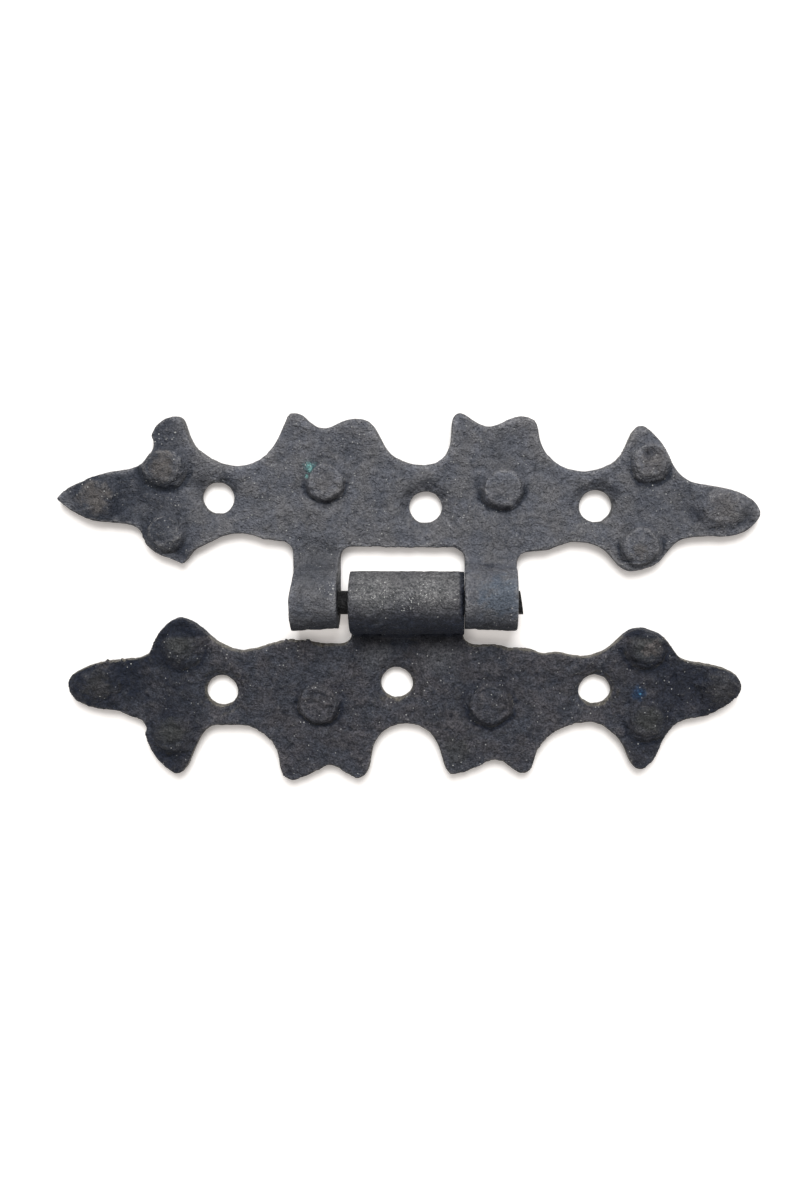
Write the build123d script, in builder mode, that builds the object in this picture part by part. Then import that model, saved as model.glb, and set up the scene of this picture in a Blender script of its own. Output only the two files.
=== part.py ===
from build123d import *
from math import asin, degrees, isclose, radians, tan
import os

# A decorative hinge: two ornamental leaves of thick sheet that turn on one pin through rolled knuckles.
# X runs along the pin, Y across the leaves, Z up from the plane that both backs lie on, in millimetres.
# The origin is on that plane, straight under the middle of the centre knuckle. The hinge lies open, flat.

# Leaves
leaf_length = 119.0
leaf_depth = 26.0

# Sheet and pin
sheet = 2.7
pin_diameter = 4.0
pin_play = 0.6  # room between the pin and a rolled bore, on the radius
seat_gap = 0.1  # what is left of that room where the upper leaf is drawn back against the pin

# Knuckles along the pin
centre_knuckle_length = 19.0
left_knuckle_length = 8.0
right_knuckle_length = 8.85
left_gap = 1.9
right_gap = 0.35
seam_gap = 0.5  # from the rolled end down to the leaf's front
neck_root = 6.0  # how far a neck's strip runs on into its leaf
neck_corner_radius = 2.0

# Pin ends
pin_proud = 0.7
pin_shear_angle = 8.0
pin_chamfer = 0.4

# Screw holes with a dished mouth
hole_diameter = 5.8
dish_diameter = 8.6
dish_angle = 120.0

# Pressed bosses, and the dimples that the press leaves behind the taller ones
ear_boss_diameter = 6.4
middle_boss_diameter = 6.8
boss_height = 1.4
boss_lean_in = 0.6  # how much narrower a boss is at its top than at its foot, on the radius
tip_boss_diameter = 7.0
tip_boss_height = 0.7
tip_boss_lean_in = 0.4
dimple_inset = 1.1  # how much narrower a dimple is than its boss's foot, on the radius
dimple_depth = 1.0

# Leaf outlines as (x, out), drawn for leaves of this length and depth and stretched to the sizes above.
# Out is measured from the line that touches the leaf's roll on the leaf's side. Each run is one smooth curve
# from the end of the run before it, or a straight line if it has one point, and runs meet at corners.
drawn_length = 119.0
drawn_depth = 26.0
upper_left_shoulder = [
    (-59.0, 12.6), (-55.7, 14.5), (-52.5, 15.8), (-48.7, 16.5), (-45.3, 17.5), (-43.7, 19.1), (-42.9, 20.8),
    (-43.4, 22.3),
]
upper_left_nick = [(-42.9, 23.3)]
upper_left_ear_and_horns = [
    (-41.7, 24.7), (-38.1, 25.3), (-37.5, 24.0), (-36.1, 20.6), (-31.2, 17.5), (-28.3, 17.1),
    (-23.0, 19.9), (-21.4, 22.4), (-20.2, 25.0), (-19.5, 25.9), (-18.4, 25.9), (-16.4, 24.5),
    (-14.2, 23.4), (-11.5, 24.2), (-8.5, 25.0), (-6.1, 24.3), (-4.8, 22.6), (-3.1, 19.6), (2.7, 17.1),
    (5.5, 17.7), (7.1, 19.7), (7.6, 23.0), (7.8, 24.9),
]
upper_right_horns_and_ear = [
    (9.0, 25.9), (10.7, 25.0), (14.1, 23.5), (17.1, 24.6), (19.7, 25.2), (21.6, 24.4), (22.4, 21.6),
    (24.0, 18.5), (30.0, 16.0), (36.2, 18.8), (37.7, 22.1), (39.3, 23.6), (41.0, 22.6), (43.6, 19.4),
    (44.8, 16.9), (47.0, 14.6), (51.3, 13.5), (55.8, 12.4), (58.1, 10.9), (59.3, 8.7),
]
upper_right_lobe = [
    (52.5, 5.0), (48.8, 5.0), (46.0, 4.4), (44.0, 2.5), (42.0, 0.3), (39.9, -0.5), (37.9, -0.9),
]
upper_right_scoop = [(35.9, 0.1), (33.5, 2.7), (28.8, 4.1), (25.9, 3.6), (24.0, 2.8)]
upper_right_neck_root = [(14.5, 1.9)]
upper_window_corner = [(12.0, 3.2)]
upper_window = [(-14.0, 3.5)]
upper_left_neck_root = [(-24.6, 4.8)]
upper_left_scoop = [(-28.2, 5.7), (-31.5, 5.2), (-34.3, 3.9), (-36.4, 3.0)]
upper_left_lobe_side = [(-38.5, 0.5)]
upper_left_lobe = [
    (-40.9, 1.6), (-43.6, 2.9), (-44.9, 4.6), (-45.7, 6.4), (-47.8, 7.4), (-51.1, 7.7), (-54.0, 8.1),
    (-56.7, 9.4), (-59.8, 11.7),
]
upper_outline = [
    upper_left_shoulder, upper_left_nick, upper_left_ear_and_horns, upper_right_horns_and_ear,
    upper_right_lobe, upper_right_scoop, upper_right_neck_root, upper_window_corner, upper_window,
    upper_left_neck_root, upper_left_scoop, upper_left_lobe_side, upper_left_lobe,
]

lower_left_shoulder = [(-58.4, 8.1), (-57.2, 7.1), (-50.3, 5.2), (-45.5, 4.4), (-44.7, 4.0)]
lower_left_ear_and_scoop = [
    (-43.7, 1.8), (-41.2, -1.4), (-39.2, -2.2), (-36.9, -1.3), (-32.3, 2.3), (-29.5, 3.4), (-26.7, 3.3),
    (-21.6, 1.8), (-18.1, 1.8), (-14.6, 2.4),
]
lower_neck_root = [(15.0, 2.5)]
lower_right_scoop_and_tip = [
    (18.0, 3.0), (21.3, 3.3), (23.3, 4.0), (25.2, 3.7), (27.4, 4.2), (32.6, 3.9), (34.9, 2.4),
    (37.1, 0.4), (39.1, -0.4), (41.5, 0.0), (43.7, 1.1), (45.3, 3.2), (46.7, 4.7), (50.1, 5.6),
    (53.4, 6.3), (56.3, 8.2), (56.7, 9.8),
]
lower_right_ear_and_scoop = [
    (55.7, 11.4), (53.3, 13.3), (50.6, 14.6), (48.6, 14.8), (44.6, 17.3), (43.2, 20.1), (42.4, 22.0),
    (41.1, 23.4), (40.0, 23.9), (38.6, 23.1), (37.3, 20.4), (33.0, 16.1), (27.2, 16.4), (22.3, 20.7),
    (21.3, 23.7), (20.3, 24.8),
]
lower_right_horns_and_scoop = [
    (18.5, 24.2), (16.8, 22.9), (14.4, 22.4), (12.0, 23.5), (9.4, 24.6), (7.3, 24.7), (6.5, 23.6),
    (5.6, 20.7), (4.1, 17.9), (-0.4, 16.1), (-5.4, 18.9), (-6.3, 21.9), (-6.8, 24.2), (-8.4, 25.7),
]
lower_left_horns_and_ear = [
    (-11.2, 24.4), (-13.5, 23.4), (-15.7, 24.3), (-18.2, 25.6), (-20.1, 26.1), (-21.7, 25.1),
    (-22.3, 22.9), (-23.0, 20.1), (-27.8, 16.6), (-31.1, 16.3), (-34.1, 16.6), (-36.2, 18.8),
    (-37.9, 22.4), (-39.3, 24.7), (-40.3, 25.1), (-41.8, 24.4), (-44.4, 21.5), (-45.8, 17.9),
]
lower_left_nick = [(-45.4, 17.3)]
lower_left_tip = [(-46.3, 15.8), (-48.0, 15.1), (-50.7, 14.0), (-53.5, 13.7), (-58.0, 11.6), (-58.9, 9.2)]
lower_outline = [
    lower_left_shoulder, lower_left_ear_and_scoop, lower_neck_root, lower_right_scoop_and_tip,
    lower_right_ear_and_scoop, lower_right_horns_and_scoop, lower_left_horns_and_ear, lower_left_nick,
    lower_left_tip,
]

# Places on the leaves, as (x, out) too
upper_holes = [(-32.2, 11.7), (3.2, 10.0), (31.9, 10.1)]
lower_holes = [(-32.2, 10.6), (-1.8, 9.1), (32.1, 10.4)]
upper_ear_bosses = [(-40.5, 17.1), (-40.7, 5.4), (40.3, 17.4), (39.0, 3.2)]
upper_middle_bosses = [(-13.5, 14.0), (16.2, 12.6)]
lower_ear_bosses = [(-38.9, 2.7), (-40.8, 18.4), (40.8, 3.1), (41.0, 15.4)]
lower_middle_bosses = [(-15.7, 12.9), (14.2, 12.8)]
upper_tip_bosses = [(-52.6, 12.2), (52.9, 9.5)]
lower_tip_bosses = [(-53.4, 9.3), (52.4, 9.8)]

# Sizes that follow from the ones above
bore_radius = pin_diameter / 2 + pin_play
roll_radius = bore_radius + sheet
roll_sweep = 270 + degrees(asin((bore_radius - seam_gap) / roll_radius))
upper_lean = pin_play - seat_gap
centre_right = centre_knuckle_length / 2
centre_left = -centre_right
left_knuckle_right = centre_left - left_gap
left_knuckle_left = left_knuckle_right - left_knuckle_length
right_knuckle_left = centre_right + right_gap
right_knuckle_right = right_knuckle_left + right_knuckle_length
standing = (Align.CENTER, Align.CENTER, Align.MIN)
upper_knuckles = [(left_knuckle_left, left_knuckle_right), (right_knuckle_left, right_knuckle_right)]
lower_knuckles = [(centre_left, centre_right)]


def on_leaf(points, side, lean):
    """Turns (x, out) places on a leaf into (x, y); side is 1 on the upper leaf and -1 on the lower one."""
    along = leaf_length / drawn_length
    across = leaf_depth / drawn_depth
    return [(x * along, side * (roll_radius + lean + out * across)) for x, out in points]


def draw_outline(runs, side, lean):
    """Draws a leaf's closed outline, run by run, from the last run's end."""
    corner = runs[-1][-1]
    for run in runs:
        points = on_leaf([corner, *run], side, lean)
        if len(points) == 2:
            Line(*points)
        else:
            Spline(*points)
        corner = run[-1]


def draw_neck(left, right, side, lean):
    """Draws the strip of sheet that runs from under the pin into the leaf."""
    start = side * lean
    end = side * (roll_radius + lean + neck_root)
    with Locations(((left + right) / 2, (start + end) / 2)):
        Rectangle(right - left, abs(end - start))


def draw_roll(side, lean):
    """Draws the rolled sheet's section: from under the pin, round and over it, to the leaf's front."""
    middle = (side * lean, roll_radius)
    outside = CenterArc(middle, roll_radius, 270, -side * roll_sweep)
    inside = CenterArc(middle, bore_radius, 270, -side * roll_sweep)
    Line(outside @ 0, inside @ 0)
    Line(outside @ 1, inside @ 1)


def neck_corners(vertices, knuckles):
    """Picks the corners where the sides of the necks meet the leaf's near edge."""
    neck_sides = [x for knuckle in knuckles for x in knuckle]
    outer = vertices.filter_by(lambda vertex: abs(vertex.Y) > roll_radius)
    return outer.filter_by(lambda vertex: any(isclose(vertex.X, x, abs_tol=0.01) for x in neck_sides))


def raise_bosses(places, diameter, height, lean_in):
    """Raises round, flat-topped bosses on a leaf's front."""
    with Locations(*[(x, y, sheet) for x, y in places]):
        Cone(diameter / 2, diameter / 2 - lean_in, height, align=standing)


def sink_dimples(places, boss_diameter):
    """Sinks the dimples behind bosses into a leaf's back."""
    with Locations(*places):
        Cylinder(boss_diameter / 2 - dimple_inset, dimple_depth, align=standing, mode=Mode.SUBTRACT)


def drill_holes(places):
    """Makes the screw holes, dished from the front."""
    with Locations(*[(x, y, sheet) for x, y in places]):
        CounterSinkHole(hole_diameter / 2, dish_diameter / 2, counter_sink_angle=dish_angle)


# Upper leaf: two outer knuckles
with BuildPart() as upper_leaf:
    for height in (0, sheet):
        with BuildSketch(Plane.XY.offset(height)) as upper_face:
            with BuildLine():
                draw_outline(upper_outline, 1, upper_lean)
            make_face()
            for left, right in upper_knuckles:
                draw_neck(left, right, 1, upper_lean)
            fillet(neck_corners(upper_face.vertices(), upper_knuckles), neck_corner_radius)
    loft(ruled=True)
    ears = on_leaf(upper_ear_bosses, 1, upper_lean)
    middles = on_leaf(upper_middle_bosses, 1, upper_lean)
    tips = on_leaf(upper_tip_bosses, 1, upper_lean)
    raise_bosses(ears, ear_boss_diameter, boss_height, boss_lean_in)
    raise_bosses(middles, middle_boss_diameter, boss_height, boss_lean_in)
    raise_bosses(tips, tip_boss_diameter, tip_boss_height, tip_boss_lean_in)
    sink_dimples(ears, ear_boss_diameter)
    sink_dimples(middles, middle_boss_diameter)
    drill_holes(on_leaf(upper_holes, 1, upper_lean))
    for left, right in upper_knuckles:
        with BuildSketch(Plane.YZ.offset(left)):
            with BuildLine():
                draw_roll(1, upper_lean)
            make_face()
        extrude(amount=right - left)

# Lower leaf: one knuckle in the middle
with BuildPart() as lower_leaf:
    for height in (0, sheet):
        with BuildSketch(Plane.XY.offset(height)) as lower_face:
            with BuildLine():
                draw_outline(lower_outline, -1, 0)
            make_face()
            draw_neck(centre_left, centre_right, -1, 0)
            fillet(neck_corners(lower_face.vertices(), lower_knuckles), neck_corner_radius)
    loft(ruled=True)
    ears = on_leaf(lower_ear_bosses, -1, 0)
    middles = on_leaf(lower_middle_bosses, -1, 0)
    tips = on_leaf(lower_tip_bosses, -1, 0)
    raise_bosses(ears, ear_boss_diameter, boss_height, boss_lean_in)
    raise_bosses(middles, middle_boss_diameter, boss_height, boss_lean_in)
    raise_bosses(tips, tip_boss_diameter, tip_boss_height, tip_boss_lean_in)
    sink_dimples(ears, ear_boss_diameter)
    sink_dimples(middles, middle_boss_diameter)
    drill_holes(on_leaf(lower_holes, -1, 0))
    with BuildSketch(Plane.YZ.offset(centre_left)):
        with BuildLine():
            draw_roll(-1, 0)
        make_face()
    extrude(amount=centre_knuckle_length)

# Pin: its left end is flush with the knuckle, and its right end is sheared off at a slant
with BuildPart() as hinge_pin:
    with BuildSketch(Plane.YZ.offset(left_knuckle_left)):
        with Locations((0, roll_radius)):
            Circle(pin_diameter / 2)
    shear_rise = pin_diameter / 2 * tan(radians(pin_shear_angle))
    extrude(amount=right_knuckle_right - left_knuckle_left + pin_proud + shear_rise)
    chamfer(hinge_pin.faces().sort_by(Axis.X)[0].edges(), pin_chamfer)
    shear_normal = Vector(1, 0, 0).rotate(Axis.Z, pin_shear_angle)
    shear = Plane((right_knuckle_right + pin_proud, 0, roll_radius), z_dir=shear_normal)
    split(bisect_by=shear, keep=Keep.BOTTOM)

os.makedirs("parts", exist_ok=True)
upper_leaf.part.label = "upper_leaf"
lower_leaf.part.label = "lower_leaf"
hinge_pin.part.label = "hinge_pin"
export_step(upper_leaf.part, "parts/upper_leaf.step")
export_step(lower_leaf.part, "parts/lower_leaf.step")
export_step(hinge_pin.part, "parts/hinge_pin.step")
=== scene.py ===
import bmesh
import bpy
import numpy as np
from mathutils import Matrix, Vector, noise


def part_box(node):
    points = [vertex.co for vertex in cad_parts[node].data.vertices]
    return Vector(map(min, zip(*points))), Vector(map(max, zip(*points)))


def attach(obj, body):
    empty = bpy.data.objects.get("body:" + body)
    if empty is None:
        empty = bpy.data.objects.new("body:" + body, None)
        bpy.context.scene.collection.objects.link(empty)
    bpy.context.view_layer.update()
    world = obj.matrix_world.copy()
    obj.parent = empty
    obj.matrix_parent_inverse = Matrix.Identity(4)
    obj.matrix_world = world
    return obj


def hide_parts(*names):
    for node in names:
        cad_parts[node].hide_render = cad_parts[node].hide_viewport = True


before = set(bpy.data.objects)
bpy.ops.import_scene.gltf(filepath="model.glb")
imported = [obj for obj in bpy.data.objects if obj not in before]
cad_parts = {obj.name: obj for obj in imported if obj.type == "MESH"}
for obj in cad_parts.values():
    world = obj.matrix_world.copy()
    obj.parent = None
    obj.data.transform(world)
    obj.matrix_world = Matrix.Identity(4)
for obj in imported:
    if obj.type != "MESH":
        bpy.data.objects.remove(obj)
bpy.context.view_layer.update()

# Looks of a blackened wrought hinge that lies open on a white floor. Each leaf is remeshed finely from its
# solid, its bosses and dished holes are worn to shape, it is beaten and roughened in the mesh itself, and
# then it gets a mottled, gritty oxide finish, with painted shade, painted light and painted glints in it.
# The frame is in metres, and the sizes below are in millimetres unless they say so. A name that ends in
# run, rise or fade says over how far an effect comes in or fades.

MM = 0.001

# Sizes that the solids have
sheet = 2.7
roll_radius = 5.3
bore_radius = 2.6
upper_lean = 0.5  # how far the upper leaf's rolls stand back from the pin's axis
hole_radius = 2.9
upper_knuckles = [(-19.4, -11.4), (9.85, 18.7)]
middle_knuckle_end = 9.5

# Fine mesh of a leaf
voxel = 0.28
weld_reach = 0.001
edge_smoothing = 3  # rounds that wear the edges round
smoothing_share = 0.5
blend_smoothing = 1  # rounds that blend bosses and dishes into the leaf

# Seams of the rolls: the stretches that scale has closed, and the sections of the bars that close them, as
# (out from the roll, z)
upper_seam = [(-19.15, -11.65), (10.1, 18.45)]
lower_seam = [(-9.2, -7.6), (-4.4, 2.4), (6.6, 7.8)]
seam_foot = [(-2.0, sheet - 0.5), (2.0, sheet - 0.5), (2.0, sheet), (-0.6, 4.4)]
seam_ramp = [(-2.0, 3.4), (0.7, 3.4), (-0.35, 6.2), (-1.8, 6.2)]

# Front of a leaf
front_facing = 0.3  # least Z of a normal there
front_margin = 1.2  # how far it stays from the rolls, and reaches down from the sheet's face
level_margin = 1.1  # how far down from the face a boss or dish is made level before it is shaped

# Bosses as (x, y, foot radius, height, share of the radius that slopes, stretch along X)
upper_bosses = [
    (-41.2, 23.0, 3.8, 1.45, 0.36, 1.1), (-41.3, 12.0, 3.6, 1.25, 0.36, 1.0),
    (40.9, 23.7, 3.7, 1.45, 0.34, 1.0), (39.4, 9.5, 3.7, 1.45, 0.30, 1.0),
    (-13.6, 20.4, 3.4, 1.50, 0.22, 1.0), (16.2, 19.2, 3.7, 1.50, 0.25, 1.0),
    (-52.9, 17.8, 3.9, 1.00, 0.45, 1.1), (53.0, 15.8, 3.6, 1.10, 0.45, 1.3),
]
lower_bosses = [
    (-38.9, -7.6, 4.1, 1.50, 0.48, 1.0), (-40.7, -23.1, 3.9, 1.45, 0.44, 1.0),
    (40.7, -7.8, 3.8, 1.50, 0.42, 1.0), (41.0, -20.4, 3.8, 1.45, 0.42, 1.0),
    (-15.3, -17.6, 3.75, 1.45, 0.2, 1.0), (14.2, -17.6, 3.95, 1.45, 0.2, 1.0),
    (-53.5, -14.7, 4.0, 1.00, 0.55, 1.1), (53.2, -14.9, 3.8, 1.10, 0.50, 1.2),
]
boss_lean = 0.11  # how much longer a boss's slope is on its -Y side
boss_rim = 0.88  # a boss's height at its rim, as a share of its height in the middle
least_away = 0.1  # keeps a boss's very middle from being divided by nothing

# Moats round the bosses, out from a boss's middle in foot radii
moat_depth = 0.28
moat_start, moat_rise = 0.8, 0.22
moat_reach, moat_fade = 1.48, 0.48
moat_round = 0.38  # how much of a moat goes all round
moat_lee = 0.58  # how much more of it lies on a boss's -Y side
moat_height, moat_height_run = 1.05, 0.3  # bosses lower than this have none

# Layers of noise as (lump size, strength, squash along each axis)
even = (1, 1, 1)
wobble_layers = [(3.0, 0.10, even), (1.2, 0.05, even)]
beaten_layers = [(8.5, 0.22, even), (3.4, 0.15, even)]
grit_layers = [(1.3, 0.09, even), (0.75, 0.08, (0.8, 1, 1))]
jag_layers = [(0.5, 1.0, (1, 0.2, 0.35)), (1.2, 0.6, (1, 0.2, 0.5))]

# Wrinkles on the bosses
wrinkle_size = 0.9
wrinkle_squash = (0.55, 1, 1)
upper_wrinkle_depth = 0.16
lower_wrinkle_depth = 0.34

# Dished screw holes as (x, y, how far the lip on the -Y side slopes in)
upper_holes = [(-32.2, 17.5, 0.1), (3.2, 15.8, 0.1), (31.9, 15.9, 0.1)]
lower_holes = [(-32.2, -15.9, 0.15), (-1.8, -14.4, 0.1), (32.1, -15.7, 0.45)]
dish_radius = 5.4
dish_depth = 1.0
dish_wobble = 0.6  # how much of the bosses' wobble the dishes have
hole_coat = 0.14  # scale on a hole's wall
coat_reach, coat_fade = 0.9, 0.6
lip_start, lip_run = 0.6, 1.6  # down from the face

# Beaten hollows in the fronts as (x, y, radius, depth)
upper_hollows = [
    (-46.8, 16.8, 3.0, 0.5), (47.0, 15.6, 3.0, 0.45), (-36.0, 20.0, 3.0, 0.3), (23.5, 22.0, 4.0, 0.25),
    (40.5, 24.6, 1.0, 0.75), (-39.5, 7.3, 1.6, 0.4),
]
lower_hollows = [
    (-46.8, -14.4, 3.4, 0.5), (46.2, -14.6, 3.2, 0.45), (-1.0, -7.9, 3.2, 0.7), (25.5, -12.5, 4.0, 0.3),
    (49.6, -15.9, 1.3, 0.6), (-13.0, -13.0, 1.6, -0.25),
]

# Torn, burred stretches of cut edges as (left, right, lowest y, highest y, way it faces along Y, height)
upper_tears = [(-6.8, 8.6, 7.5, 10.5, -1, 0.22)]
lower_tears = [
    (-21.8, -13.2, -14, -5.5, 1, 0.75), (-54.5, -47.8, -14, -5.5, 1, 0.6), (9.0, 22.0, -14, -5.5, 1, 0.22),
]
tear_facing, tear_facing_run = 0.15, 0.5
tear_foot, tear_foot_run = 1.2, 1.0
tear_end_run = 1.0
tear_lift = 0.5  # how far a burr stands up, as a share of how far it stands out

# Outer knuckles: the left one's outer end tapers, and both feet slant up towards the middle of the hinge
knuckle_margin = 0.5
taper_draw = 0.6
taper_length = 2.6
taper_start, taper_run = 0.3, 5.2  # along Y
taper_end = 3.5  # past the roll
taper_foot, taper_foot_run = 2.4, 1.0
knuckle_lifts = [0.50, 0.40]
skin_start, skin_run = 0.3, 2.0  # out from the bore
slant_run = 4.0

# Ends of the leaves, drawn out again by what smoothing took
tip_draw = 0.18
tip_start, tip_run = 51.0, 7.0

# Knuckle ends beside the right gap, brought nearly together below the crown
gap_place = 9.8
gap_left = 0.03
gap_reach = 0.6
gap_crown, gap_foot, gap_fade = 9.9, 0.4, 0.8

# Roughness of the leaves
upper_grain = 1.0
lower_grain = 1.4
roll_margin = 0.6  # how far outside its radius a roll is still counted as one
bore_margin = 0.7  # how far out from a bore nothing is roughened
crease_layers = [(2.2, (0.8, 1, 1)), (1.3, (1, 0.8, 1))]
crease_depth = 0.14
crease_width = 0.45
crease_level = 0.75
roll_beaten = 0.4  # shares of the relief on the rolls, on the cut walls and on faces along X
roll_rough = 0.8
wall_facing, wall_rough = 0.5, 0.6
end_facing, end_rough = 0.7, 0.3

# Seeds of the noise on each leaf
upper_front_seed, upper_rough_seed, upper_tear_seed = 1, 4, 11
lower_front_seed, lower_rough_seed, lower_tear_seed = 21, 24, 31
crease_seed = 5  # past the seed of the roughness

# Wear and painted shade that the finish reads: what is proud reads as wear and what is sunk as painted shade,
# as (name, rounds of blurring, height that counts in full)
wear_and_shade_scales = [("rub_and_shade", 6, 0.10), ("stand", 60, 0.45)]
lee_rounds = 8
lee_least = 0.25  # share of a sunk point's depth that counts as painted shade on its +Y side, towards the lamp
lee_end, lee_run = 0.12, 0.24
wall_margin = 0.8
wall_top, wall_top_run = 0.2, 0.4  # over the sheet's face
wall_end, wall_run = 0.9, 0.4
under_end, under_run = 1.4, 5.2  # painted shade on the rolls' -Y sides, away from the lamp
under_foot, under_foot_run = -6.6, 0.8
gap_shade, gap_shade_run = 0.7, 0.4  # painted shade in the right gap, back from the middle knuckle's end
gap_shade_past = 0.2
gap_shade_margin = 0.1

# Camera, from the photograph's perspective
camera_place = (9.05, 26.17, 229.9)
camera_aim = (-1.15, 0.17, 3.0)
camera_lens = 40.29
camera_sensor = 36.0
camera_clip = 10.0

# Stage, in metres and watts
floor_half = 3.0
floor_colour = (0.86, 0.855, 0.845)
floor_roughness = 0.9
floor_gloss = 0.1
floor_glow = (1.0, 0.935, 0.89)
corner_reach = 0.0026  # how near to the hinge the floor's glow dims, a painted contact shadow
corner_samples = 8
corner_shut, corner_open, corner_dim = 0.45, 0.85, 0.41
lit_radius, glow_radius = 0.12, 0.60
lit_glow = 0.54  # what the floor glows where the lamp lights it, as a share of its glow far off
lamp_place = (0.03, 0.51, 0.70)
lamp_size = 0.5
lamp_power = 8.9
fill_light = 0.10


def new_object(name, data):
    """Links a new object to the scene."""
    made = bpy.data.objects.new(name, data)
    bpy.context.scene.collection.objects.link(made)
    return made


# Meshes

def add_bar(builder, section, left, right):
    """Adds a closed bar along X whose (y, z) section is a convex polygon."""
    ends = []
    for x in (left, right):
        ends.append([builder.verts.new((x * MM, y * MM, z * MM)) for y, z in section])
    builder.faces.new(ends[0])
    builder.faces.new(list(reversed(ends[1])))
    for i in range(len(section)):
        j = (i + 1) % len(section)
        builder.faces.new((ends[0][j], ends[0][i], ends[1][i], ends[1][j]))


def seam_fillers(outer, way, stretches):
    """Bars that fill stretches of a roll's seam, where scale has closed it; way is its side in Y."""
    bars = []
    for section in (seam_foot, seam_ramp):
        placed = [(way * (outer + out), z) for out, z in section][::way]
        bars += [(placed, left, right) for left, right in stretches]
    return bars


def remeshed(node, name, bars):
    """A fine, even mesh of a CAD node with its edges worn round and its filler bars joined in."""
    builder = bmesh.new()
    builder.from_mesh(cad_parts[node].data)
    bmesh.ops.remove_doubles(builder, verts=builder.verts, dist=weld_reach * MM)
    for section, left, right in bars:
        add_bar(builder, section, left, right)
    rough = bpy.data.meshes.new(name + "_rough")
    builder.to_mesh(rough)
    builder.free()
    made = new_object(name, rough)
    remesh = made.modifiers.new("remesh", "REMESH")
    remesh.mode = "VOXEL"
    remesh.voxel_size = voxel * MM
    smooth = made.modifiers.new("smooth", "SMOOTH")
    smooth.factor = smoothing_share
    smooth.iterations = edge_smoothing
    fine = bpy.data.meshes.new_from_object(made.evaluated_get(bpy.context.evaluated_depsgraph_get()))
    made.modifiers.clear()
    made.data = fine
    bpy.data.meshes.remove(rough)
    fine.name = name
    for polygon in fine.polygons:
        polygon.use_smooth = True
    return made


def read_points(mesh):
    """Vertex places in millimetres."""
    flat = np.empty(len(mesh.vertices) * 3)
    mesh.vertices.foreach_get("co", flat)
    return flat.reshape(-1, 3) / MM


def write_points(mesh, points):
    """Puts the vertices at places in millimetres."""
    mesh.vertices.foreach_set("co", (points * MM).ravel())
    mesh.update()


def read_normals(mesh):
    """Vertex normals."""
    flat = np.empty(len(mesh.vertices) * 3)
    mesh.vertices.foreach_get("normal", flat)
    return flat.reshape(-1, 3)


def blurred(values, mesh, rounds):
    """Averages values over each vertex's neighbours, again and again."""
    flat = np.empty(len(mesh.edges) * 2, dtype=np.int64)
    mesh.edges.foreach_get("vertices", flat)
    first, second = flat.reshape(-1, 2).T
    count = np.bincount(flat, minlength=len(mesh.vertices))[:, None]
    for _ in range(rounds):
        total = np.zeros_like(values)
        np.add.at(total, first, values[second])
        np.add.at(total, second, values[first])
        values = (values + total / count) / 2
    return values


def noise_at(points, size, seed):
    """Smooth noise from -1 to 1 whose lumps are about so many millimetres across."""
    shift = Vector((seed * 7.31, seed * 3.17, seed * 5.71))
    return np.array([noise.noise(Vector(p) / size + shift) for p in points])


def layered(points, layers, seed):
    """Adds up layers of noise."""
    total = np.zeros(len(points))
    for i, (size, strength, squash) in enumerate(layers):
        total += strength * noise_at(points * squash, size, seed + i)
    return total


def eased(share):
    """Eases a share from 0 to 1 in and out."""
    share = np.clip(share, 0, 1)
    return share * share * (3 - 2 * share)


def rising(value, start, run):
    """Eases from 0 at start to 1 a run above it."""
    return eased((value - start) / run)


def falling(value, end, run):
    """Eases from 1 to 0 at end, over a run below it."""
    return eased((end - value) / run)


def shape_front(mesh, bosses, holes, hollows, wrinkle_depth, seed):
    """Wears the bosses and dishes on a leaf's front to their shapes and beats hollows into it."""
    points = read_points(mesh)
    x, y, z = points.T
    clear_of_rolls = np.abs(y) > roll_radius + front_margin
    front = (read_normals(mesh)[:, 2] > front_facing) & clear_of_rolls & (z > sheet - front_margin)
    wobble = layered(points, wobble_layers, seed)
    wrinkles = noise_at(points * wrinkle_squash, wrinkle_size, seed + len(wobble_layers))
    rise = np.zeros(len(points))
    touched = np.zeros(len(points), dtype=bool)
    for boss_x, boss_y, radius, height, sloped, stretch in bosses:
        away = np.hypot((x - boss_x) / stretch, y - boss_y)
        foot = radius * (1 - boss_lean * (y - boss_y) / np.maximum(away, least_away))
        top = radius * (1 - sloped)
        reach = away / foot * (1 + wobble)
        fall = np.clip((away * (1 + wobble) - top) / (foot - top), 0, 1)
        dome = boss_rim + (1 - boss_rim) * eased(1 - reach)
        rise += (height * dome + wrinkle_depth * wrinkles) * (1 - (fall + eased(fall)) / 2)
        ring = falling(reach, moat_reach, moat_fade) * rising(reach, moat_start, moat_rise)
        below = eased(moat_round + moat_lee * (boss_y - y) / radius)
        rise -= moat_depth * ring * below * rising(height, moat_height, moat_height_run)
        touched |= reach < moat_reach
    for hole_x, hole_y, _ in holes:
        reach = np.hypot(x - hole_x, y - hole_y) * (1 + wobble * dish_wobble)
        share = np.clip((dish_radius - reach) / (dish_radius - hole_radius), 0, 1)
        rise -= dish_depth * share ** 2
        touched |= reach < dish_radius
    level = front & touched & (z > sheet - level_margin)
    points[level, 2] = sheet
    for hollow_x, hollow_y, radius, depth in hollows:
        rise -= depth * np.exp(-((x - hollow_x) ** 2 + (y - hollow_y) ** 2) / radius ** 2)
    points[front, 2] += rise[front]
    shaped = front & touched
    points[shaped] = blurred(points, mesh, blend_smoothing)[shaped]
    write_points(mesh, points)


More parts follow.
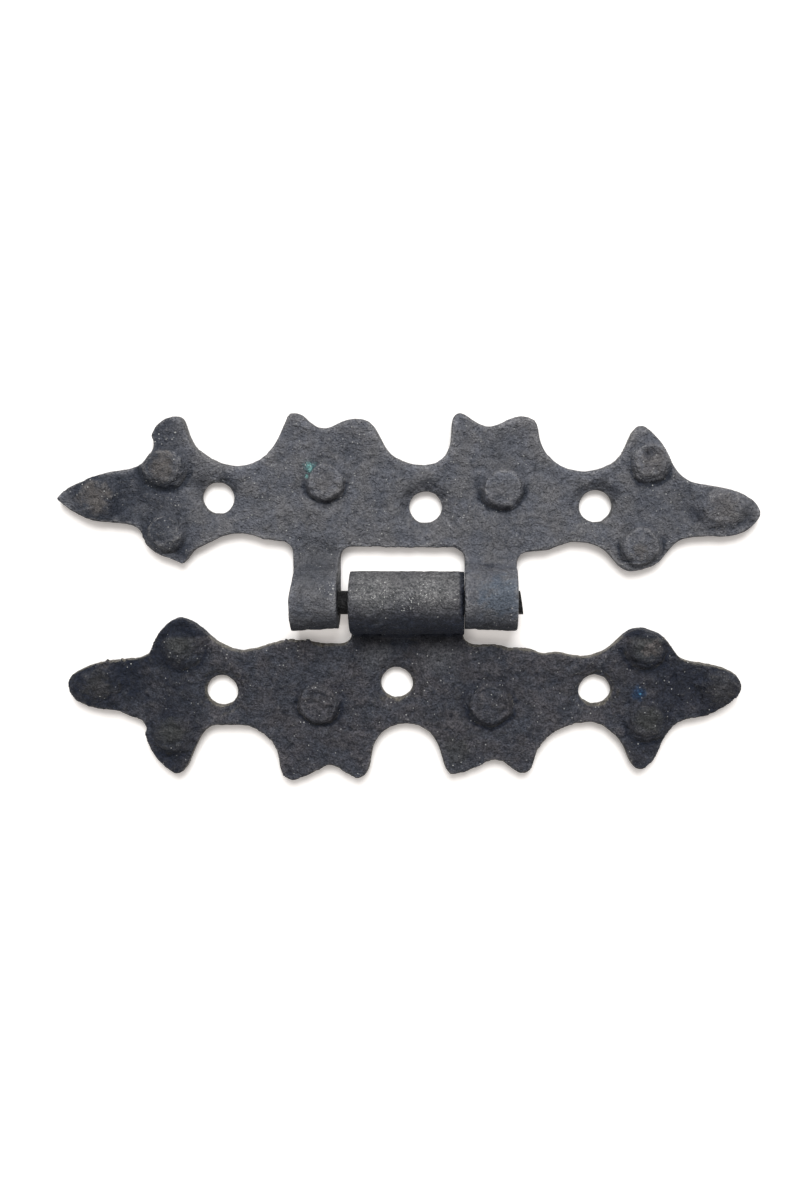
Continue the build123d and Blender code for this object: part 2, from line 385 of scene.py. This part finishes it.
def coat_holes(mesh, holes):
    """Narrows the screw holes by their coat of scale and slopes their lips on the -Y side."""
    points = read_points(mesh)
    for hole_x, hole_y, slope in holes:
        out = points[:, :2] - (hole_x, hole_y)
        reach = np.hypot(*out.T)
        lip = eased(-out[:, 1] / hole_radius) * falling(points[:, 2], sheet - lip_start, lip_run)
        inward = (hole_coat + slope * lip) * falling(reach, hole_radius + coat_reach, coat_fade)
        points[:, :2] -= out * (inward / np.maximum(reach, 1))[:, None]
    write_points(mesh, points)


def tear_edges(mesh, stretches, seed):
    """Raises torn burrs on stretches of a leaf's cut edges."""
    points = read_points(mesh)
    normals = read_normals(mesh)
    jag = layered(points, jag_layers, seed)
    for left, right, lowest, highest, way, height in stretches:
        facing = rising(normals[:, 1] * way, tear_facing, tear_facing_run)
        facing *= rising(points[:, 2], tear_foot, tear_foot_run)
        inside = rising(points[:, 0], left, tear_end_run) * falling(points[:, 0], right, tear_end_run)
        near = (points[:, 1] > lowest) & (points[:, 1] < highest)
        points[:, 1] += way * height * inside * facing * jag * near
        points[:, 2] += tear_lift * height * inside * facing * np.abs(jag) * near
    write_points(mesh, points)


def taper_left_knuckle(mesh):
    """Draws the left knuckle's outer end in towards its neck."""
    points = read_points(mesh)
    x, y, z = points.T
    end = upper_knuckles[0][0]
    outer = falling(x, end + taper_length, taper_length) * (x > end - knuckle_margin)
    high = rising(y, taper_start, taper_run) * (y < roll_radius + taper_end)
    points[:, 0] += taper_draw * outer * high * rising(z, taper_foot, taper_foot_run)
    write_points(mesh, points)


def slant_knuckles(mesh):
    """Rolls the outer knuckles a little tighter towards the middle of the hinge, so that their feet slant."""
    points = read_points(mesh)
    x, y, z = points.T
    axis_y = upper_lean / 2
    skin = rising(np.hypot(y - axis_y, z - roll_radius), bore_radius + skin_start, skin_run)
    below = falling(y, axis_y, slant_run)
    for (left, right), lift in zip(upper_knuckles, knuckle_lifts):
        across = np.clip((x - left) / (right - left), 0, 1)
        inner_share = across if right < 0 else 1 - across
        on_knuckle = (x > left - knuckle_margin) & (x < right + knuckle_margin)
        points[:, 1] += lift * inner_share * skin * below * on_knuckle
    write_points(mesh, points)


def draw_out_tips(mesh):
    """Gives the leaf's end tips back the length that smoothing took."""
    points = read_points(mesh)
    x = points[:, 0]
    points[:, 0] += tip_draw * np.sign(x) * rising(np.abs(x), tip_start, tip_run)
    write_points(mesh, points)


def close_gap(mesh, way):
    """Brings facing knuckle ends, on a leaf's side of the right gap, nearly together below the crown."""
    points = read_points(mesh)
    x, y, z = points.T
    low = falling(z, gap_crown, gap_fade) * rising(z, gap_foot, gap_fade)
    near = (np.abs(y) < roll_radius + roll_margin) & (np.abs(x - gap_place) < gap_reach)
    ends = gap_place + way * gap_left
    points[:, 0] += np.where(near, low * (ends - x), 0)
    write_points(mesh, points)


def roughen(mesh, grain, seed):
    """Beats and roughens a leaf all over, and leaves its bores as they are; grain scales the fine relief."""
    points = read_points(mesh)
    normals = read_normals(mesh)
    from_axis = np.hypot(points[:, 1] - upper_lean / 2, points[:, 2] - roll_radius)
    on_roll = from_axis < roll_radius + roll_margin
    depth = layered(points, beaten_layers, seed)
    depth[on_roll] *= roll_beaten
    creases = np.zeros(len(points))
    for i, (size, squash) in enumerate(crease_layers):
        creases += np.abs(noise_at(points * squash, size, seed + crease_seed + i))
    depth += crease_depth * grain * (np.minimum(creases, crease_width) / crease_width - crease_level)
    depth += grain * layered(points, grit_layers, seed + len(beaten_layers))
    depth[on_roll] *= roll_rough
    depth[~on_roll & (np.abs(normals[:, 2]) < wall_facing)] *= wall_rough
    depth[np.abs(normals[:, 0]) > end_facing] *= end_rough
    depth[on_roll & (from_axis < bore_radius + bore_margin)] = 0
    write_points(mesh, points + normals * depth[:, None])


def keep_in_box(mesh, node):
    """Holds a leaf inside its solid's box."""
    low, high = (np.array(corner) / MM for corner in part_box(node))
    write_points(mesh, np.clip(read_points(mesh), low, high))


def store(mesh, name, values):
    """Stores a value for each vertex, for the finish to read."""
    layer = mesh.attributes.new(name, "FLOAT", "POINT")
    layer.data.foreach_set("value", values.astype(np.float32))


def mark_wear_and_shade(mesh):
    """Stores how far points are proud from near and wide, with sunk points counted more on their -Y side,
    away from the lamp, as painted shade; and where the cut walls are, and where the rolls' -Y sides and the
    middle knuckle's end by the right gap take painted shade.
    """
    points = read_points(mesh)
    normals = read_normals(mesh)
    x, y, z = points.T
    facing = blurred(normals, mesh, lee_rounds)[:, 1]
    lee = lee_least + (1 - lee_least) * falling(facing, lee_end, lee_run)
    for name, rounds, full in wear_and_shade_scales:
        proud = ((points - blurred(points, mesh, rounds)) * normals).sum(1) / full
        store(mesh, name, np.clip(np.where(proud < 0, proud * lee, proud), -1, 1))
    on_sheet = np.abs(y) > roll_radius + wall_margin
    low = falling(z, sheet + wall_top, wall_top_run)
    store(mesh, "wall", falling(np.abs(normals[:, 2]), wall_end, wall_run) * on_sheet * low)
    roll_and_gap_shade = falling(y, under_end, under_run) * rising(y, under_foot, under_foot_run)
    gap_end = rising(x, middle_knuckle_end - gap_shade, gap_shade_run) * (x < gap_place + gap_shade_past)
    store(mesh, "roll_and_gap_shade", np.maximum(roll_and_gap_shade, gap_end * (np.abs(y) < roll_radius + gap_shade_margin)))


# Nodes of materials

def new_material(name):
    """A new node material with its tree and its shader."""
    material = bpy.data.materials.new(name)
    material.use_nodes = True
    return material, material.node_tree, material.node_tree.nodes["Principled BSDF"]


def node(tree, kind, **values):
    """Adds a node and sets its properties, or its inputs where it has no such property."""
    made = tree.nodes.new(kind)
    for key, value in values.items():
        if hasattr(made, key):
            setattr(made, key, value)
        else:
            made.inputs[key].default_value = value
    return made


def join(tree, source, target):
    """Links an output to an input, or sets the input to a plain value."""
    if isinstance(source, bpy.types.NodeSocket):
        tree.links.new(source, target)
    elif isinstance(source, tuple):
        target.default_value = (*source, 1)
    else:
        target.default_value = source


def maths(tree, operation, first, second):
    """A sum on two values, held between 0 and 1."""
    made = node(tree, "ShaderNodeMath", operation=operation, use_clamp=True)
    join(tree, first, made.inputs[0])
    join(tree, second, made.inputs[1])
    return made.outputs[0]


def times(tree, first, second):
    """The product of two values, held between 0 and 1."""
    return maths(tree, "MULTIPLY", first, second)


def mapped(tree, value, start, end, low, high):
    """Spreads a value that goes from start to end evenly from low to high."""
    made = node(tree, "ShaderNodeMapRange")
    join(tree, value, made.inputs["Value"])
    for key, number in (("From Min", start), ("From Max", end), ("To Min", low), ("To Max", high)):
        made.inputs[key].default_value = number
    return made.outputs["Result"]


def between(tree, value, start, end):
    """How far a value is from start to end, eased, from 0 to 1."""
    made = node(tree, "ShaderNodeMapRange", interpolation_type="SMOOTHSTEP")
    join(tree, value, made.inputs["Value"])
    made.inputs["From Min"].default_value = start
    made.inputs["From Max"].default_value = end
    return made.outputs["Result"]


def cloud(tree, place, size, detail=3.0, roughness=0.6):
    """Noise whose lumps are about so many millimetres across."""
    made = node(tree, "ShaderNodeTexNoise", Scale=1 / (size * MM), Detail=detail, Roughness=roughness)
    join(tree, place, made.inputs["Vector"])
    return made.outputs["Fac"]


def blend(tree, share, first, second, kind="MIX"):
    """Mixes two colours by a share."""
    made = node(tree, "ShaderNodeMix", data_type="RGBA", blend_type=kind)
    join(tree, share, made.inputs["Factor"])
    join(tree, first, made.inputs[6])
    join(tree, second, made.inputs[7])
    return made.outputs[2]


def scaled(tree, colour, factors):
    """A colour with its red, green and blue multiplied."""
    return blend(tree, 1.0, colour, factors, "MULTIPLY")


def attribute(tree, name):
    """A stored wear value."""
    return node(tree, "ShaderNodeAttribute", attribute_name=name).outputs["Fac"]


def glint_flecks(tree, place, spacing, size, few):
    """Scattered bright flecks of painted glint, about so many millimetres apart and across; few is the share
    of them left out.
    """
    turn = (0.6, 0.4, 0.3)
    core = 0.55
    turned = node(tree, "ShaderNodeMapping", Rotation=turn)
    join(tree, place, turned.inputs["Vector"])
    cells = node(tree, "ShaderNodeTexVoronoi", Scale=1 / (spacing * MM))
    join(tree, turned.outputs["Vector"], cells.inputs["Vector"])
    near = between(tree, cells.outputs["Distance"], size / spacing, core * size / spacing)
    kept = maths(tree, "GREATER_THAN", cells.outputs["Color"], few)
    return times(tree, near, kept)


def spot(tree, place, centre, radius, ragged):
    """A ragged patch round a place on the hinge."""
    lumps = 0.6
    rim = 1.1
    core = 0.3
    away = node(tree, "ShaderNodeVectorMath", operation="DISTANCE")
    join(tree, place, away.inputs[0])
    away.inputs[1].default_value = [c * MM for c in centre]
    edge = cloud(tree, place, lumps * radius, detail=4.0, roughness=0.7)
    spread = times(tree, edge, 2 * ragged * radius * MM)
    total = node(tree, "ShaderNodeMath", operation="ADD")
    join(tree, away.outputs["Value"], total.inputs[0])
    join(tree, spread, total.inputs[1])
    return between(tree, total.outputs[0], radius * (rim + ragged) * MM, radius * (core + ragged) * MM)


# Oxide finish, with painted shade, painted light and painted glints

high_gain = (1.3, 1.3, 1.3)
end_start, end_full = 30.0, 46.0  # where the leaves' ends darken, out from the middle
hollow_share = 0.9
crevice_share = 0.35
bare_share = 0.9
grit_darker = (0.95, 0.95, 0.90)
grit_lighter = (0.97, 0.94, 0.94)
blotch_darker = (0.76, 0.74, 0.72)
blotch_lighter = (0.80, 0.78, 0.76)
# Tones and sizes of painted glints
glint = (0.62, 0.62, 0.60)
glint_raggedness = 1.6
glint_fleck = (0.45, 0.45, 0.44)
glint_fleck_spacing = 0.75
glint_fleck_size = 0.14
gloss = 0.2
shine_below, shine_above = 0.1, 0.12
coarse_relief = 0.8
fine_relief = 0.3


def weathered_and_shaded(tree, place, tones, dark_ends):
    """Patches of two tones, with painted shade in the hollows, more on their side away from the lamp, darker
    at the leaf's ends and lighter on what stands out.
    """
    patches = between(tree, cloud(tree, place, size=4.0, detail=5.0, roughness=0.62), 0.36, 0.64)
    colour = blend(tree, patches, tones["blue_black"], tones["brown_grey"])
    stand = attribute(tree, "stand")
    # Painted shade in sunk places, more on their side away from the lamp
    low = between(tree, stand, 0.05, -0.6)
    colour = blend(tree, times(tree, low, hollow_share), colour, tones["dark_and_shade"])
    colour = blend(tree, between(tree, stand, 0.2, 0.8), colour, scaled(tree, colour, high_gain))
    split = node(tree, "ShaderNodeSeparateXYZ")
    join(tree, place, split.inputs[0])
    ends = []
    for way, strength in zip((-1, 1), dark_ends):
        end = between(tree, split.outputs["X"], way * end_start * MM, way * end_full * MM)
        ends.append(times(tree, end, strength))
    # The leaf's ends are darker, in patches
    end_patches = between(tree, cloud(tree, place, size=5.0), 0.25, 0.55)
    return blend(tree, times(tree, maths(tree, "ADD", *ends), end_patches), colour, tones["dark_and_shade"])


def worn(tree, place, colour, tones, fine, rub_share):
    """Rubs what stands out, paints shade into the crevices, more on their side away from the lamp, and bares
    the cut walls.
    """
    rub_and_shade = attribute(tree, "rub_and_shade")
    rubbed = times(tree, between(tree, rub_and_shade, 0.12, 0.75), between(tree, fine, 0.36, 0.56))
    colour = blend(tree, times(tree, rubbed, rub_share), colour, tones["rubbed"])
    # Painted shade in the crevices
    crevices = between(tree, rub_and_shade, -0.1, -0.7)
    colour = blend(tree, times(tree, crevices, crevice_share), colour, tones["dark_and_shade"])
    bare = times(tree, attribute(tree, "wall"), between(tree, cloud(tree, place, size=1.0), 0.25, 0.5))
    return blend(tree, times(tree, bare, bare_share), colour, tones["cut"])


def varied(tree, colour, share, mottle, darker, lighter):
    """Varies a colour by a share, from darker to lighter; both are given for a mottle of 1."""
    dim = scaled(tree, colour, tuple(1 - change * mottle for change in darker))
    strong = scaled(tree, colour, tuple(1 + change * mottle for change in lighter))
    return blend(tree, share, dim, strong)


def sparkling(tree, place, colour, glitter, few_glint_flecks):
    """Paints glints in some places and fine bright flecks of painted glint all over."""
    spark = between(tree, cloud(tree, place, size=0.30, detail=2.0, roughness=0.5), 0.63, 0.69)
    for centre, radius in glitter:
        glints = times(tree, spark, spot(tree, place, centre, radius, glint_raggedness))
        colour = blend(tree, glints, colour, glint)
    strewn = between(tree, cloud(tree, place, size=5.0, detail=2.0), 0.40, 0.62)
    bright = times(tree, glint_flecks(tree, place, glint_fleck_spacing, glint_fleck_size, few_glint_flecks), strewn)
    return blend(tree, bright, colour, glint_fleck)


def gritty_surface(tree, place, shader, fine, roughness):
    """Gives a shader uneven gloss and two sizes of relief."""
    uneven = cloud(tree, place, size=1.2)
    shine = mapped(tree, uneven, 0.3, 0.7, roughness - shine_below, roughness + shine_above)
    join(tree, shine, shader.inputs["Roughness"])
    shader.inputs["Specular IOR Level"].default_value = gloss
    coarse_bump = node(tree, "ShaderNodeBump", Strength=1.0, Distance=coarse_relief * MM)
    join(tree, cloud(tree, place, size=1.0, detail=4.0), coarse_bump.inputs["Height"])
    fine_bump = node(tree, "ShaderNodeBump", Strength=1.0, Distance=fine_relief * MM)
    join(tree, fine, fine_bump.inputs["Height"])
    join(tree, coarse_bump.outputs["Normal"], fine_bump.inputs["Normal"])
    join(tree, fine_bump.outputs["Normal"], shader.inputs["Normal"])


def oxide_with_painted_light(name, tones, roughness, mottle, rub_share, few_glint_flecks, under_dark=0.0, dark_ends=(0.0, 0.0),
          spots=(), glitter=()):
    """Blackened iron: mottled, gritty, rubbed on what stands out, with painted shade in the hollows, crevices
    and on the rolls' -Y sides, stains and spots of painted shade and light, and painted glints.
    """
    material, tree, shader = new_material(name)
    place = node(tree, "ShaderNodeTexCoord").outputs["Object"]
    fine = cloud(tree, place, size=0.34, detail=2.0)
    colour = weathered_and_shaded(tree, place, tones, dark_ends)
    colour = worn(tree, place, colour, tones, fine, rub_share)
    for centre, radius, ragged, tint, strength in spots:
        patch = times(tree, spot(tree, place, centre, radius, ragged), strength)
        colour = blend(tree, patch, colour, tint)
    # Painted shade on the rolls' -Y sides and by the right gap, in patches
    shade_patches = between(tree, cloud(tree, place, size=2.0, detail=4.0), 0.2, 0.45)
    roll_and_gap_shade = times(tree, attribute(tree, "roll_and_gap_shade"), shade_patches)
    colour = blend(tree, times(tree, roll_and_gap_shade, under_dark), colour, tones["dark_and_shade"])
    grit = between(tree, fine, 0.35, 0.65)
    colour = varied(tree, colour, grit, mottle, grit_darker, grit_lighter)
    blotch = between(tree, cloud(tree, place, size=1.1, detail=4.0, roughness=0.7), 0.34, 0.66)
    colour = varied(tree, colour, blotch, mottle, blotch_darker, blotch_lighter)
    colour = sparkling(tree, place, colour, glitter, few_glint_flecks)
    join(tree, colour, shader.inputs["Base Color"])
    gritty_surface(tree, place, shader, fine, roughness)
    return material


# Colours. Both leaves have one finish; the upper leaf's tones are set lighter than the lower leaf's as
# painted sheen.

upper_lit_tones = {
    "blue_black": (0.107, 0.113, 0.132),
    "brown_grey": (0.133, 0.133, 0.141),
    "dark_and_shade": (0.026, 0.031, 0.043),
    "rubbed": (0.245, 0.238, 0.235),
    "cut": (0.092, 0.091, 0.092),
}
lower_shaded_tones = {
    "blue_black": (0.041, 0.045, 0.057),
    "brown_grey": (0.060, 0.058, 0.065),
    "dark_and_shade": (0.008, 0.011, 0.020),
    "rubbed": (0.142, 0.131, 0.107),
    "cut": (0.142, 0.131, 0.107),
}
# The pin's near-black tones are its own dark finish, darkened further as painted shade of the gaps between
# the knuckles
pin_tones = {
    "blue_black": (0.007, 0.007, 0.008),
    "brown_grey": (0.010, 0.010, 0.010),
    "dark_and_shade": (0.004, 0.004, 0.005),
    "rubbed": (0.030, 0.028, 0.026),
    "cut": (0.030, 0.028, 0.026),
}
teal = (0.22, 0.46, 0.44)
dark_teal = (0.05, 0.12, 0.13)
knuckle_blue = (0.065, 0.098, 0.140)
halo_blue = (0.016, 0.045, 0.100)
bright_blue = (0.12, 0.36, 0.58)
# A near-black tone for painted shade in the crease at the middle knuckle's foot and in a dent at the lower
# leaf's right end
recess_shade = (0.008, 0.010, 0.016)
upper_brown = (0.130, 0.116, 0.104)
lower_brown = (0.050, 0.046, 0.040)
lower_olive = (0.046, 0.048, 0.046)
worn_pink = (0.160, 0.140, 0.135)
# A light tone for painted light on the middle knuckle's top, on its side towards the lamp
painted_knuckle_light = (0.172, 0.172, 0.171)
# A near-black tone for painted shade: below bosses, in dents, at a neck and a tip, and on the dished rims
# above the holes
painted_shade = (0.016, 0.020, 0.031)
neck_grey = (0.060, 0.064, 0.074)
# A lighter tone for painted light that lifts the middle knuckle's cast shadow on the leaf below it
painted_light_below_knuckle = (0.095, 0.097, 0.105)
mound_blue = (0.062, 0.070, 0.092)
streak = (0.058, 0.064, 0.078)

# Spots as (centre, radius, raggedness, tint, strength). Some are stains and tints of the metal; others paint
# shade or light, as their tints say.
upper_spots = [
    ((-16.4, 22.6, 2.7), 1.3, 1.6, dark_teal, 0.6), ((-16.4, 23.0, 2.7), 0.6, 1.8, teal, 1.0),
    ((-16.25, 22.3, 2.7), 0.5, 1.8, teal, 0.9), ((-16.8, 21.2, 2.7), 0.4, 1.6, teal, 0.8),
    ((15.8, 1.8, 10.0), 4.0, 1.6, knuckle_blue, 0.5),
    ((-52.9, 17.8, 3.5), 3.2, 1.0, upper_brown, 0.6), ((53.0, 15.7, 3.5), 3.4, 1.0, upper_brown, 0.35),
    ((-41.2, 23.0, 4.0), 3.0, 1.0, upper_brown, 0.6), ((40.9, 23.5, 4.0), 2.8, 1.0, upper_brown, 0.4),
    ((40.5, 24.5, 3.9), 1.0, 1.2, painted_shade, 0.55),
    ((39.4, 8.4, 4.0), 1.6, 1.6, upper_brown, 0.4), ((-13.6, 20.4, 4.1), 2.6, 1.0, upper_brown, 0.3),
    ((-40.6, 19.7, 2.6), 1.8, 1.0, painted_shade, 0.75), ((-49.6, 16.2, 2.6), 1.9, 1.0, painted_shade, 0.7),
    ((-38.6, 9.0, 2.6), 2.2, 1.0, painted_shade, 0.7), ((-13.4, 17.0, 2.6), 1.5, 1.0, painted_shade, 0.6),
    ((-15.5, 4.2, 6.5), 7.0, 0.4, neck_grey, 0.6), ((-15.5, 8.8, 2.7), 5.0, 0.5, neck_grey, 0.5),
    ((14.3, 6.0, 4.4), 1.4, 1.2, painted_shade, 0.7), ((-9.4, 26.4, 2.7), 3.0, 1.5, streak, 0.5),
    ((15.4, 26.3, 2.7), 3.0, 1.5, streak, 0.5),
    ((57.4, 13.6, 2.0), 2.2, 0.6, painted_shade, 0.4), ((32.4, 19.8, 2.3), 1.8, 0.8, painted_shade, 0.5),
    ((3.4, 19.7, 2.3), 1.8, 0.8, painted_shade, 0.5), ((-30.8, 20.9, 2.3), 1.7, 0.8, painted_shade, 0.5),
    ((0.5, 18.6, 2.4), 1.4, 0.6, painted_shade, 0.45), ((6.1, 18.4, 2.4), 1.5, 0.6, painted_shade, 0.5),
    ((34.8, 18.5, 2.4), 1.7, 0.6, painted_shade, 0.55), ((29.2, 18.3, 2.4), 1.3, 0.6, painted_shade, 0.45),
    ((-29.5, 19.6, 2.4), 1.5, 0.6, painted_shade, 0.5), ((-35.3, 20.3, 2.4), 1.8, 0.6, painted_shade, 0.55),
    ((16.4, 15.5, 2.6), 1.8, 1.0, painted_shade, 0.5), ((39.6, 20.1, 2.6), 1.7, 1.0, painted_shade, 0.5),
    ((36.7, 8.0, 2.6), 1.4, 1.0, painted_shade, 0.45), ((48.8, 14.6, 2.6), 1.8, 1.0, painted_shade, 0.5),
]
lower_spots = [
    ((39.5, -15.8, 2.7), 1.5, 0.6, halo_blue, 0.75), ((39.7, -16.0, 2.7), 0.28, 1.0, bright_blue, 0.9),
    ((41.0, -11.4, 2.6), 1.7, 1.0, painted_shade, 0.75), ((-40.7, -22.8, 4.1), 3.0, 0.6, lower_olive, 0.75),
    ((-38.9, -7.2, 4.1), 3.2, 0.6, lower_olive, 0.7), ((41.0, -20.2, 4.1), 2.9, 0.6, lower_olive, 0.8),
    ((40.7, -7.5, 4.1), 3.0, 0.6, lower_olive, 0.7),
    ((-53.4, -14.8, 3.5), 3.0, 1.0, lower_brown, 0.4), ((53.6, -15.1, 3.5), 3.2, 1.0, lower_brown, 0.35),
    ((49.7, -15.9, 2.7), 1.3, 1.6, recess_shade, 0.8), ((41.4, -8.0, 4.1), 1.7, 1.6, worn_pink, 0.5),
    ((-5.0, 3.4, 9.2), 7.0, 0.3, painted_knuckle_light, 0.70), ((5.0, 3.4, 9.2), 7.0, 0.3, painted_knuckle_light, 0.70),
    ((-6.6, -5.7, 3.2), 2.2, 1.0, recess_shade, 0.85), ((5.2, -5.7, 3.2), 2.4, 1.0, recess_shade, 0.85),
    ((-0.9, -6.9, 3.2), 2.4, 0.8, mound_blue, 0.7), ((8.2, -26.2, 2.7), 3.0, 1.4, lower_olive, 0.5),
    ((5.5, -9.2, 2.7), 4.2, 0.8, painted_light_below_knuckle, 0.6), ((-5.5, -9.4, 2.7), 3.8, 0.8, painted_light_below_knuckle, 0.6),
]

# Places with painted glints, as (centre, radius)
upper_glitter = [
    ((-12.6, 2.6, 9.9), 1.6), ((-18.6, 2.9, 9.7), 1.0), ((14.0, -3.4, 9.0), 1.4), ((26.0, 9.0, 2.7), 2.0),
]
lower_glitter = [
    ((-3.6, 2.6, 9.9), 3.0), ((3.4, 2.8, 9.9), 3.0), ((7.6, 1.4, 10.2), 1.8), ((-7.2, 1.6, 10.2), 2.2),
    ((0.2, 1.0, 10.4), 2.4), ((-16.3, -15.0, 4.0), 1.4),
]

# Pieces

upper_bars = seam_fillers(upper_lean + roll_radius, 1, upper_seam)
upper = remeshed("upper_leaf", "upper_leaf_forged", upper_bars)
shape_front(upper.data, upper_bosses, upper_holes, upper_hollows, upper_wrinkle_depth, upper_front_seed)
coat_holes(upper.data, upper_holes)
taper_left_knuckle(upper.data)
slant_knuckles(upper.data)
draw_out_tips(upper.data)
roughen(upper.data, upper_grain, upper_rough_seed)
tear_edges(upper.data, upper_tears, upper_tear_seed)
close_gap(upper.data, 1)
upper_finish = oxide_with_painted_light(
    "upper_oxide_painted_light", upper_lit_tones, roughness=0.55, mottle=0.25, rub_share=0.35, few_glint_flecks=0.45, under_dark=0.5,
    dark_ends=(0.9, 0.2), spots=upper_spots, glitter=upper_glitter,
)
upper.data.materials.append(upper_finish)

lower_bars = seam_fillers(roll_radius, -1, lower_seam)
lower = remeshed("lower_leaf", "lower_leaf_forged", lower_bars)
shape_front(lower.data, lower_bosses, lower_holes, lower_hollows, lower_wrinkle_depth, lower_front_seed)
coat_holes(lower.data, lower_holes)
draw_out_tips(lower.data)
roughen(lower.data, lower_grain, lower_rough_seed)
tear_edges(lower.data, lower_tears, lower_tear_seed)
close_gap(lower.data, -1)
lower_finish = oxide_with_painted_light(
    "lower_oxide_painted_light", lower_shaded_tones, roughness=0.55, mottle=0.42, rub_share=0.12, few_glint_flecks=0.55, under_dark=0.95,
    dark_ends=(1.0, 0.85), spots=lower_spots, glitter=lower_glitter,
)
lower.data.materials.append(lower_finish)

for made, body in ((upper, "upper_leaf"), (lower, "lower_leaf")):
    keep_in_box(made.data, body)
    mark_wear_and_shade(made.data)
    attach(made, body)
    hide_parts(body)

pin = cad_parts["hinge_pin"]
pin.data.materials.clear()
pin_finish = oxide_with_painted_light("pin_oxide_painted_light", pin_tones, roughness=0.40, mottle=0.25, rub_share=0.3, few_glint_flecks=0.9)
pin.data.materials.append(pin_finish)


# Stage

def shown_ray(tree):
    """1 for rays that show the background: from the camera, off gloss and through glass."""
    path = node(tree, "ShaderNodeLightPath")
    seen = maths(tree, "ADD", path.outputs["Is Camera Ray"], path.outputs["Is Glossy Ray"])
    return maths(tree, "ADD", seen, path.outputs["Is Transmission Ray"])


def white_floor():
    """A pale floor that shows white and keeps a soft, warm shadow; its glow dims near the hinge's corners as
    a painted contact shadow.
    """
    half = floor_half
    corners = [(-half, -half, 0), (half, -half, 0), (half, half, 0), (-half, half, 0)]
    mesh = bpy.data.meshes.new("floor")
    mesh.from_pydata(corners, [], [(0, 1, 2, 3)])
    floor = new_object("floor", mesh)
    material, tree, shader = new_material("pale_floor")
    join(tree, floor_colour, shader.inputs["Base Color"])
    shader.inputs["Roughness"].default_value = floor_roughness
    shader.inputs["Specular IOR Level"].default_value = floor_gloss
    join(tree, floor_glow, shader.inputs["Emission Color"])
    corner = node(tree, "ShaderNodeAmbientOcclusion", samples=corner_samples, Distance=corner_reach)
    open_share = mapped(tree, corner.outputs["AO"], corner_shut, corner_open, corner_dim, 1.0)
    away = node(tree, "ShaderNodeVectorMath", operation="LENGTH")
    join(tree, node(tree, "ShaderNodeTexCoord").outputs["Object"], away.inputs[0])
    level = mapped(tree, away.outputs["Value"], lit_radius, glow_radius, lit_glow, 1.0)
    glow = times(tree, open_share, level)
    join(tree, times(tree, shown_ray(tree), glow), shader.inputs["Emission Strength"])
    mesh.materials.append(material)


def soft_lamp(name, place, size, power):
    """A soft round lamp that points at the hinge, in metres and watts."""
    lamp = bpy.data.lights.new(name, "AREA")
    lamp.shape = "DISK"
    lamp.size = size
    lamp.energy = power
    made = new_object(name, lamp)
    made.location = place
    made.rotation_euler = (-Vector(place)).to_track_quat("-Z", "Y").to_euler()


def studio_world():
    """White where it shows, and a weak fill light on the hinge."""
    world = bpy.data.worlds.new("studio")
    bpy.context.scene.world = world
    world.use_nodes = True
    tree = world.node_tree
    background = tree.nodes["Background"]
    background.inputs["Color"].default_value = (1, 1, 1, 1)
    strength = mapped(tree, shown_ray(tree), 0.0, 1.0, fill_light, 1.0)
    join(tree, strength, background.inputs["Strength"])


def aim_camera():
    """A camera at the photograph's viewing angle, level along X."""
    data = bpy.data.cameras.new("camera")
    data.lens = camera_lens
    data.sensor_width = camera_sensor
    data.clip_start = camera_clip * MM
    camera = new_object("camera", data)
    eye = Vector(camera_place) * MM
    forward = (Vector(camera_aim) * MM - eye).normalized()
    right = (Vector((1, 0, 0)) - forward * forward.x).normalized()
    up = right.cross(forward)
    camera.matrix_world = Matrix.Translation(eye) @ Matrix((right, up, -forward)).transposed().to_4x4()
    bpy.context.scene.camera = camera


white_floor()
soft_lamp("key", lamp_place, lamp_size, lamp_power)
studio_world()
aim_camera()
bpy.context.scene.view_settings.view_transform = "Standard"
